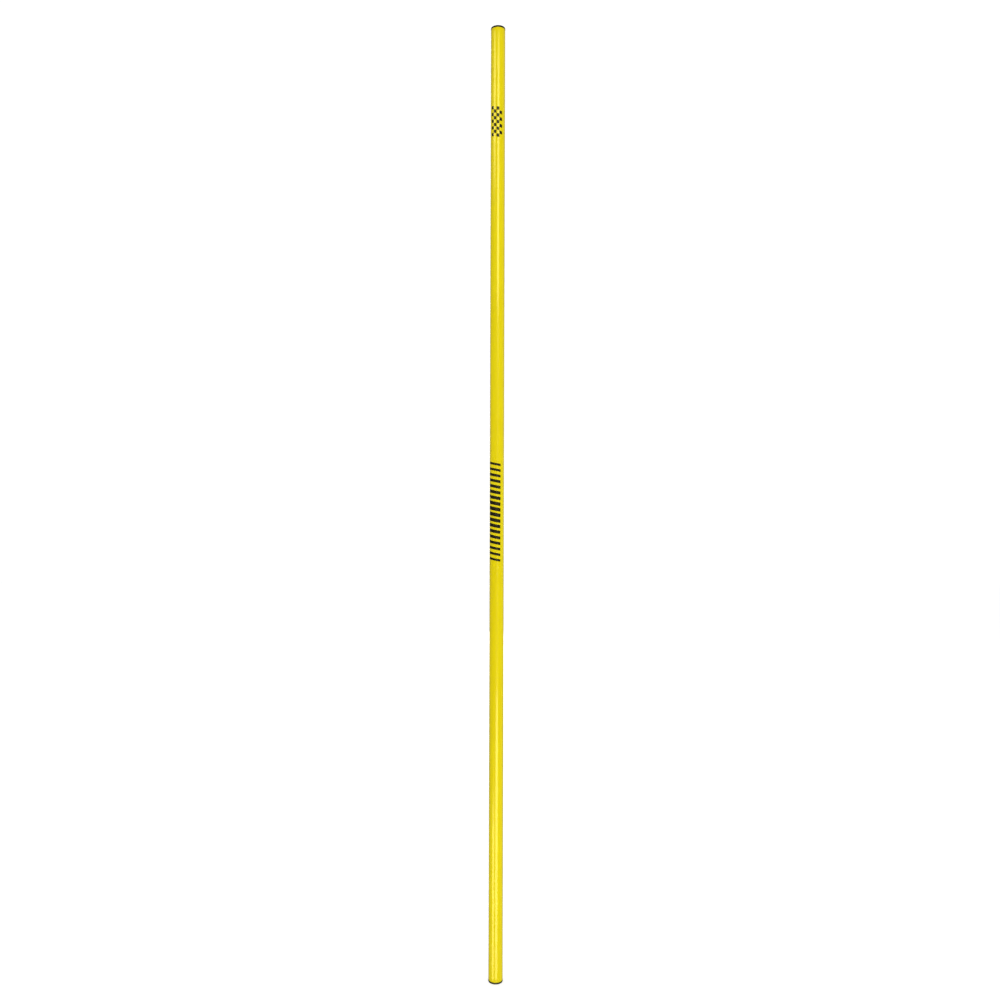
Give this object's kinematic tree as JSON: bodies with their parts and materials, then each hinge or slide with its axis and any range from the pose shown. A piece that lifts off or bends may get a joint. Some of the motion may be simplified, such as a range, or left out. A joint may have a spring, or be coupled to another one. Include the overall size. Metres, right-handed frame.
{
  "type": "slalom pole",
  "caption": "Straight round plastic slalom pole for agility training, a thin-walled yellow tube closed at both ends by flat-headed black push-in plugs.",
  "frame": {"origin": "centre of the lower plug's flat underside, where the pole bottoms in the base or ground socket that holds it", "axes": "+Z along the pole, from the lower plug to the upper plug; the pole is round, so +X and +Y are any two directions square to it"},
  "size_m": [0.0258, 0.0258, 1.7062],
  "materials": {
    "yellow_plastic": "gloss",
    "black_plastic": "satin",
    "black_ink": "satin"
  },
  "bodies": {
    "root": {"pole_tube": "yellow_plastic", "upper_end_plug": "black_plastic", "lower_end_plug": "black_plastic"}
  },
  "joints": []
}
